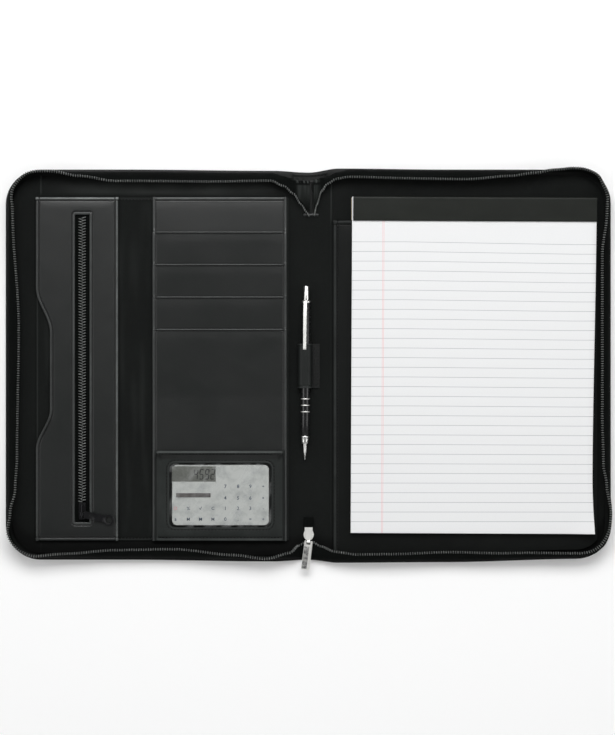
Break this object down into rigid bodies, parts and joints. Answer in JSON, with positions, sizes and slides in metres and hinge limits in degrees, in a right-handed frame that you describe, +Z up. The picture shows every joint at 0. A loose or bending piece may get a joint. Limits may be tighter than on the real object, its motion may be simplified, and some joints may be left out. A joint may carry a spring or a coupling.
{
  "type": "leather document case with writing pad, calculator and pen, lying open",
  "caption": "Zip-round leather document case lying open, with pockets and a calculator on the left, a pen loop on the spine and a ruled pad on the right.",
  "frame": {"origin": "middle of the open case on its flat underside", "axes": "+X across the open case to the pad's side, +Y to the head of the case, +Z up out of the open case"},
  "size_m": [0.5368, 0.3563, 0.0196],
  "materials": {
    "leather": "smooth black leather with a fine grain, satin",
    "lining_cloth": "black woven lining, matt",
    "zip_tape": "black woven zip tape, matt",
    "zip_coil": "black nylon coil, satin",
    "nickel": "polished nickel with light scratches",
    "gunmetal": "black enamelled metal, semi-gloss",
    "pen_enamel": "black gloss enamel",
    "calculator_case": "light grey moulded plastic, satin",
    "clear_film": "clear soft film, glossy, slightly wrinkled",
    "paper": "smooth white writing paper with grey ruling",
    "cardboard": "grey-brown pad board"
  },
  "bodies": {
    "case": {"cover": "leather", "lining": "lining_cloth", "gusset_left": "zip_tape", "zip_coil_left": "zip_coil", "gusset_right": "zip_tape", "zip_coil_right": "zip_coil", "spine_band": "leather", "zip_slider": "nickel", "zip_tail": "zip_tape", "pocket_backing": "lining_cloth", "document_panel": "leather", "pocket_zip_tape": "zip_tape", "pocket_zip_coil": "zip_coil", "pocket_slider": "gunmetal", "card_panel": "leather", "card_pocket_1": "leather", "card_pocket_2": "leather", "card_pocket_3": "leather", "card_pocket_4": "leather", "calculator": "calculator_case", "window_film": "clear_film", "calculator_pocket": "leather", "pen_loop": "leather", "pen_clicker": "nickel", "pen_collar": "nickel", "pen_barrel": "pen_enamel", "pen_ring_1": "nickel", "pen_ring_2": "nickel", "pen_ring_3": "nickel", "pen_tip": "nickel", "pen_clip": "nickel", "pad_board": "cardboard", "pad_pocket": "leather", "pad_paper": "paper", "pad_headband": "leather"},
    "main_pull": {"zip_pull": "nickel"},
    "side_pull": {"pocket_pull": "gunmetal"}
  },
  "joints": [
    {"name": "main_pull_hinge", "type": "hinge", "parent": "case", "child": "main_pull", "pos_m": [0.0003, -0.15602, 0.01095], "axis": [-0.9923, 0.1236, 0], "range_deg": [0, 150]},
    {"name": "side_pull_hinge", "type": "hinge", "parent": "case", "child": "side_pull", "pos_m": [-0.2001, -0.1316, 0.0114], "axis": [0, -1, 0], "range_deg": [0, 165]}
  ]
}
